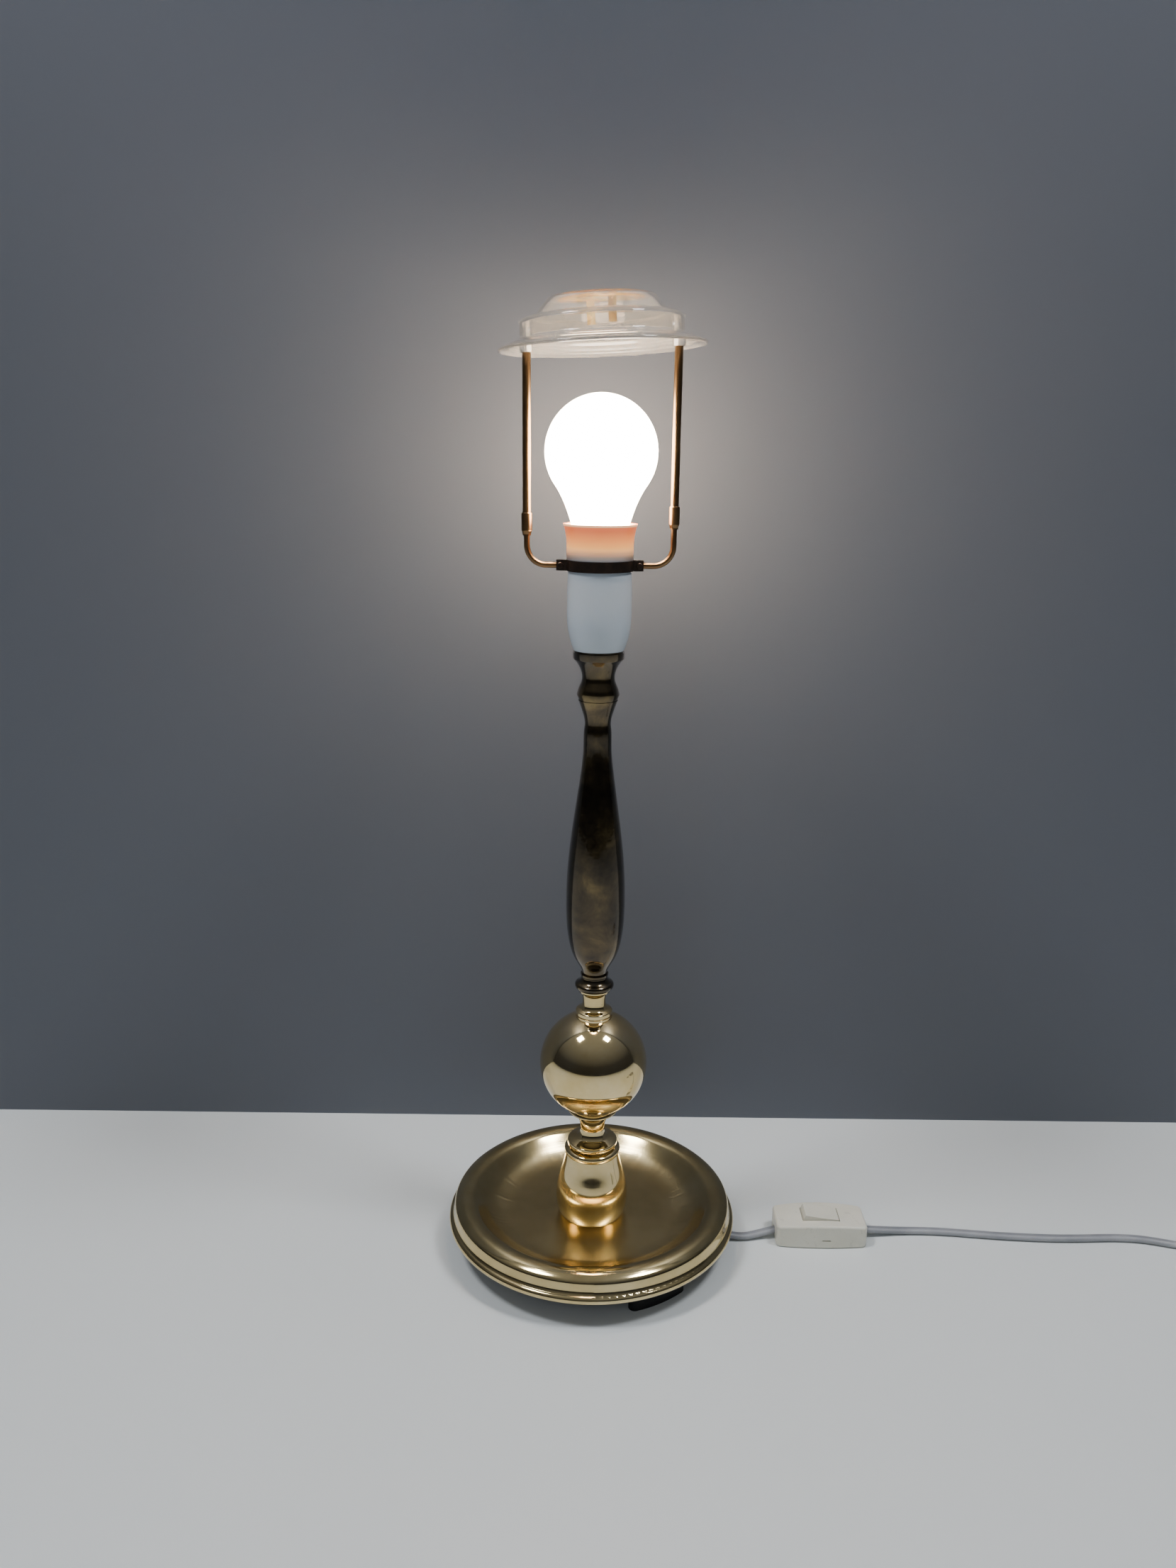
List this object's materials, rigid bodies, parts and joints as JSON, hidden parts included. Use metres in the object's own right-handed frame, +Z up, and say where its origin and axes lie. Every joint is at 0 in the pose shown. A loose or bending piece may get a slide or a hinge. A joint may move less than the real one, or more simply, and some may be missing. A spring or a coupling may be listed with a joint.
{
  "type": "table lamp",
  "caption": "Brass table lamp with a dish base, ball and baluster column, screw bulb, two-arm clear shade carrier and a corded inline switch.",
  "frame": {"origin": "on the table under the column's axis", "axes": "+Z up the column's axis; +X towards the side where the cord leaves; -Y towards the viewer"},
  "size_m": [0.5345, 0.2051, 0.553],
  "materials": {
    "aged_brass": "satin",
    "black_glass": "gloss",
    "black_plastic": "satin",
    "black_rubber": "matte",
    "black_steel": "satin",
    "bronzed_brass": "polished, dark lacquer",
    "brown_steel": "satin",
    "cast_iron": "rough",
    "clear_glass": "clear",
    "clear_plastic": "clear",
    "cream_plastic": "gloss, smudged",
    "filament": "glowing",
    "grey_pvc": "satin",
    "lit_plastic": "gloss, lit through by the bulb",
    "nickel": "satin",
    "opal_glass_lit": "opal, lit",
    "polished_brass": "polished",
    "white_plastic": "gloss",
    "white_pvc": "satin",
    "yellowed_plastic": "clear, heat-yellowed",
    "zinc_steel": "satin"
  },
  "bodies": {
    "lamp": {"ball_lower_half": "polished_brass", "ball_upper_half": "polished_brass", "base_dish": "polished_brass", "base_nut": "zinc_steel", "base_washer": "zinc_steel", "base_weight": "cast_iron", "bottom_cover": "black_steel", "center_contact": "nickel", "column_body": "bronzed_brass", "column_foot_ring": "bronzed_brass", "cord_coil": "grey_pvc", "cord_end": "grey_pvc", "cord_grommet": "black_plastic", "cord_lead": "grey_pvc", "cord_tail": "grey_pvc", "cover_screws": "zinc_steel", "foot_nuts": "zinc_steel", "foot_pads": "black_rubber", "foot_screws": "zinc_steel", "holder_body": "white_plastic", "holder_insert": "white_plastic", "holder_leads": "grey_pvc", "holder_nut": "zinc_steel", "holder_washer": "black_plastic", "inner_flex": "grey_pvc", "lower_spool": "polished_brass", "pedestal_bell": "polished_brass", "pedestal_ring": "polished_brass", "plug_body": "white_pvc", "plug_pins": "zinc_steel", "plug_sleeves": "black_plastic", "screw_shell": "nickel", "stem_rod": "zinc_steel", "switch_bottom": "cream_plastic", "switch_contacts": "nickel", "switch_pivot": "zinc_steel", "switch_screws": "zinc_steel", "switch_top": "cream_plastic", "terminal_screws": "zinc_steel", "upper_spool": "polished_brass"},
    "harp": {"harp_band_front": "brown_steel", "harp_band_back": "brown_steel", "harp_rivets": "brown_steel", "harp_arm_left": "aged_brass", "harp_arm_right": "aged_brass"},
    "carrier": {"upper_tube_left": "aged_brass", "upper_tube_right": "aged_brass", "carrier_body": "clear_plastic", "carrier_top": "yellowed_plastic"},
    "collet_l": {"collet_left": "aged_brass"},
    "collet_r": {"collet_right": "aged_brass"},
    "skirt": {"holder_ring": "lit_plastic"},
    "bulb_foot": {"bulb_insulator": "black_glass", "bulb_contact": "nickel"},
    "bulb": {"bulb_globe": "opal_glass_lit", "bulb_cap": "nickel", "bulb_stem": "clear_glass", "bulb_filament": "filament"},
    "rocker": {"switch_rocker": "cream_plastic"}
  },
  "joints": [
    {"name": "harp_swivel", "type": "hinge", "parent": "lamp", "child": "harp", "pos_m": [0, 0, 0.41511], "axis": [0, 0, 1], "range_deg": [-180, 180]},
    {"name": "carrier_slide", "type": "slide", "parent": "harp", "child": "carrier", "axis": [0, 0, 1], "range_m": [-0.004, 0.045]},
    {"name": "collet_left_turn", "type": "hinge", "parent": "carrier", "child": "collet_l", "pos_m": [-0.0395, 0, 0.43771], "axis": [0, 0, 1], "range_deg": [-180, 180]},
    {"name": "collet_right_turn", "type": "hinge", "parent": "carrier", "child": "collet_r", "pos_m": [0.0395, 0, 0.43771], "axis": [0, 0, 1], "range_deg": [-180, 180]},
    {"name": "skirt_turn", "type": "hinge", "parent": "lamp", "child": "skirt", "pos_m": [0, 0, 0.4182], "axis": [0, 0, 1], "range_deg": [0, 90]},
    {"name": "bulb_lift", "type": "slide", "parent": "lamp", "child": "bulb_foot", "axis": [0, 0, 1], "range_m": [0, 0.01462]},
    {"name": "bulb_turn", "type": "hinge", "parent": "bulb_foot", "child": "bulb", "pos_m": [0, 0, 0.47441], "axis": [0, 0, 1], "range_deg": [0, 1440]},
    {"name": "rocker_tip", "type": "hinge", "parent": "lamp", "child": "rocker", "pos_m": [0.143, 0.0007, 0.0128], "axis": [0, 1, 0], "range_deg": [-16, 0]}
  ],
  "couplings": [
    {"joint": "bulb_lift", "follows": "bulb_turn", "m_per_rad": 0.00057773}
  ]
}
